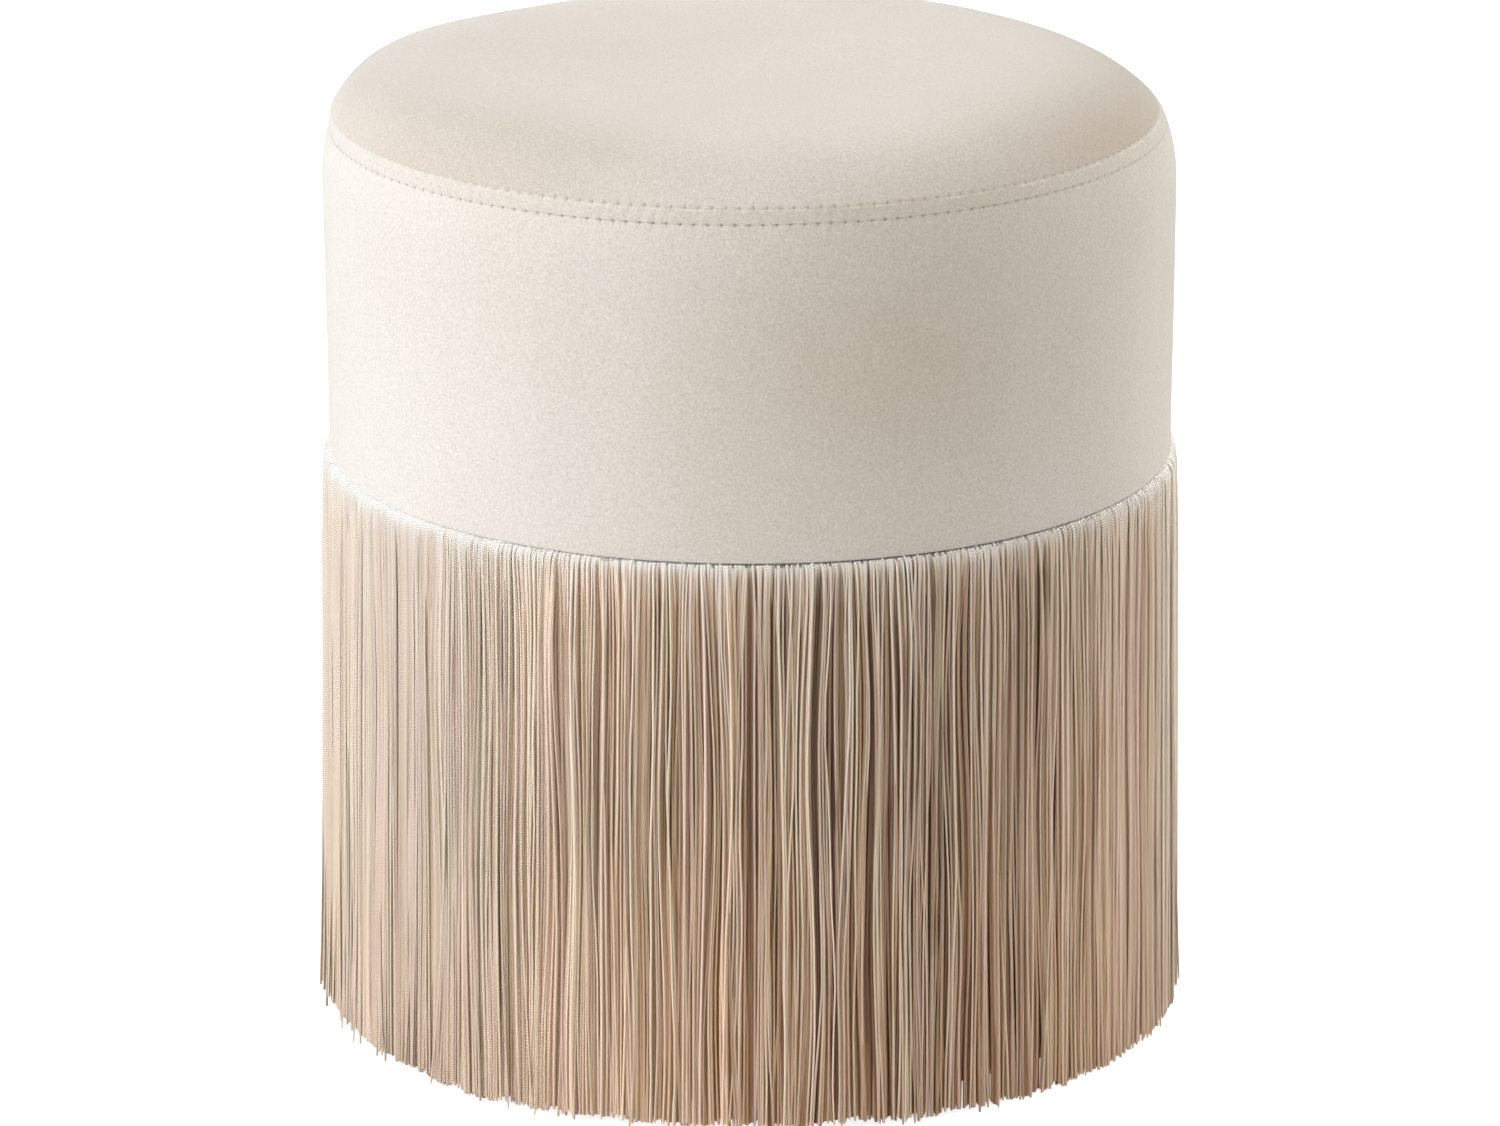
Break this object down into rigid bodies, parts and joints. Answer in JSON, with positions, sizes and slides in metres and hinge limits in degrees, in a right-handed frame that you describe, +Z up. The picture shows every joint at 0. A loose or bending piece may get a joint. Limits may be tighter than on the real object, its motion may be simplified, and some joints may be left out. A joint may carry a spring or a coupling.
{
  "type": "tuffet",
  "caption": "Round velvet tuffet with a crowned seat, a top-stitched shoulder, a smooth side band and a deep corded fringe that hangs to just above the floor.",
  "frame": {"origin": "on the floor, under the middle of the tuffet", "axes": "+Z up through the middle of the seat; -Y is the front, as the picture shows it; +X is to the right seen from the front"},
  "size_m": [0.3906, 0.3906, 0.435],
  "materials": {
    "velvet": "pale greige velvet with a soft sheen",
    "fringe": "twisted cord, beige to tan, silky",
    "lining": "plain woven, matte",
    "foam": "open-cell upholstery foam",
    "wadding": "fluffy polyester wadding",
    "dust_cover": "black non-woven",
    "plywood": "raw plywood",
    "pine": "raw planed pine",
    "hardboard": "raw hardboard, smooth face out",
    "plastic": "black, fine texture",
    "zinc_plated_steel": "bright zinc plate"
  },
  "bodies": {
    "root": {"velvet_top_panel": "velvet", "velvet_seam_strip": "velvet", "velvet_side_band": "velvet", "seat_wadding": "wadding", "seat_foam": "foam", "side_padding": "foam", "drum_wall": "hardboard", "seat_board": "plywood", "base_board": "plywood", "middle_hoop": "plywood", "post_1": "pine", "post_2": "pine", "post_3": "pine", "post_4": "pine", "post_5": "pine", "post_6": "pine", "seat_board_screw_1": "zinc_plated_steel", "seat_board_screw_2": "zinc_plated_steel", "seat_board_screw_3": "zinc_plated_steel", "seat_board_screw_4": "zinc_plated_steel", "seat_board_screw_5": "zinc_plated_steel", "seat_board_screw_6": "zinc_plated_steel", "base_board_screw_1": "zinc_plated_steel", "base_board_screw_2": "zinc_plated_steel", "base_board_screw_3": "zinc_plated_steel", "base_board_screw_4": "zinc_plated_steel", "base_board_screw_5": "zinc_plated_steel", "base_board_screw_6": "zinc_plated_steel", "side_lining": "lining", "dust_cover": "dust_cover", "glide_1": "plastic", "glide_2": "plastic", "glide_3": "plastic", "glide_4": "plastic", "glide_screw_1": "zinc_plated_steel", "glide_screw_2": "zinc_plated_steel", "glide_screw_3": "zinc_plated_steel", "glide_screw_4": "zinc_plated_steel", "fringe_front": "fringe", "fringe_right": "fringe", "fringe_back": "fringe", "fringe_left": "fringe"}
  },
  "joints": []
}
